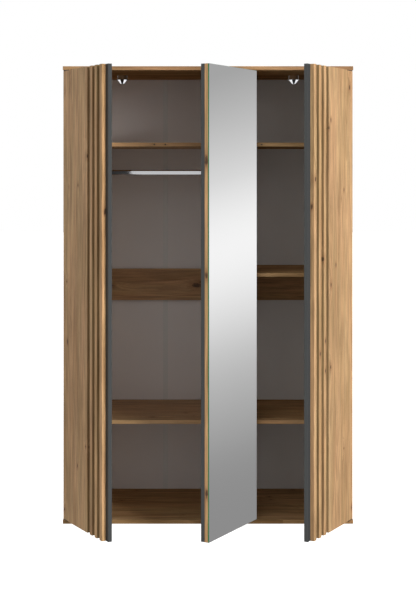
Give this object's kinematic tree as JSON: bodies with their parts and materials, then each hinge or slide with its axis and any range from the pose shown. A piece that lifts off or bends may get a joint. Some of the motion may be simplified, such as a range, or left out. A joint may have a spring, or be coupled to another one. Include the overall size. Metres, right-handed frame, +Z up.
{
  "type": "hinged door wardrobe",
  "caption": "Free-standing oak wardrobe with slatted outer doors, a mirrored middle door, a hanging rail bay and a shelf bay.",
  "frame": {"origin": "on the floor under the middle of the carcass, at the underside of the middle floor glide", "axes": "+Z up, +X to the right seen from the front, the front and the doors face -Y"},
  "size_m": [1.32, 0.9485, 2.082],
  "materials": {
    "oak_board": "matt oak decor with broken edges",
    "graphite_board": "matt graphite laminate",
    "back_fibreboard": "lacquered fibreboard",
    "joint_plastic": "matt",
    "glide_plastic": "matt",
    "chrome_trim": "polished",
    "lamp_glass": "clear",
    "led_face": "diffuse",
    "cam_metal": "oak-coloured cap",
    "dowel_beech": "plain beech",
    "dark_steel": "black zinc",
    "foam_tape": "matt foam",
    "mirror_glass": "silvered, ground edge"
  },
  "bodies": {
    "carcass": {"back_joint_strip": "joint_plastic", "back_rail_left": "oak_board", "back_rail_right": "oak_board", "back_sheet_left": "back_fibreboard", "back_sheet_middle": "back_fibreboard", "back_sheet_right": "back_fibreboard", "base_panel": "oak_board", "cam_locks": "cam_metal", "carcass_hinge_screws": "dark_steel", "catch_magnets": "dark_steel", "floor_glides": "glide_plastic", "hanging_rail": "chrome_trim", "hinge_head_plates": "dark_steel", "hinge_sill_plates": "dark_steel", "lamp_housing_left": "chrome_trim", "lamp_housing_right": "chrome_trim", "lamp_leds": "led_face", "lamp_lens_left": "lamp_glass", "lamp_lens_right": "lamp_glass", "left_side_panel": "oak_board", "lower_shelf_left": "oak_board", "lower_shelf_right": "oak_board", "middle_shelf_right": "oak_board", "partition": "oak_board", "pivot_washers": "glide_plastic", "rail_socket_left": "chrome_trim", "rail_socket_right": "chrome_trim", "right_side_panel": "oak_board", "shelf_pins": "dark_steel", "top_panel": "oak_board", "upper_shelf_left": "oak_board", "upper_shelf_right": "oak_board", "wood_dowels": "dowel_beech"},
    "left_door": {"left_door_board": "graphite_board", "left_door_panel": "oak_board", "left_door_slat_1": "oak_board", "left_door_slat_2": "oak_board", "left_door_slat_3": "oak_board", "left_hinge_crown_plate": "dark_steel", "left_hinge_foot_plate": "dark_steel", "left_hinge_screws": "dark_steel", "left_strike_disc": "dark_steel"},
    "middle_door": {"door_mirror": "mirror_glass", "middle_door_board": "graphite_board", "middle_door_front": "oak_board", "middle_hinge_crown_plate": "dark_steel", "middle_hinge_foot_plate": "dark_steel", "middle_hinge_screws": "dark_steel", "middle_strike_disc": "dark_steel", "mirror_tape": "foam_tape"},
    "right_door": {"right_door_board": "graphite_board", "right_door_panel": "oak_board", "right_door_slat_1": "oak_board", "right_door_slat_2": "oak_board", "right_door_slat_3": "oak_board", "right_hinge_crown_plate": "dark_steel", "right_hinge_foot_plate": "dark_steel", "right_hinge_screws": "dark_steel", "right_strike_disc": "dark_steel"}
  },
  "joints": [
    {"name": "left_door_hinge", "type": "hinge", "parent": "carcass", "child": "left_door", "pos_m": [-0.653, -0.282, 1.042], "axis": [0, 0, -1], "range_deg": [-60, 45]},
    {"name": "middle_door_hinge", "type": "hinge", "parent": "carcass", "child": "middle_door", "pos_m": [0.2113, -0.281, 1.042], "axis": [0, 0, 1], "range_deg": [-60, 45]},
    {"name": "right_door_hinge", "type": "hinge", "parent": "carcass", "child": "right_door", "pos_m": [0.653, -0.282, 1.042], "axis": [0, 0, 1], "range_deg": [-60, 45]}
  ]
}
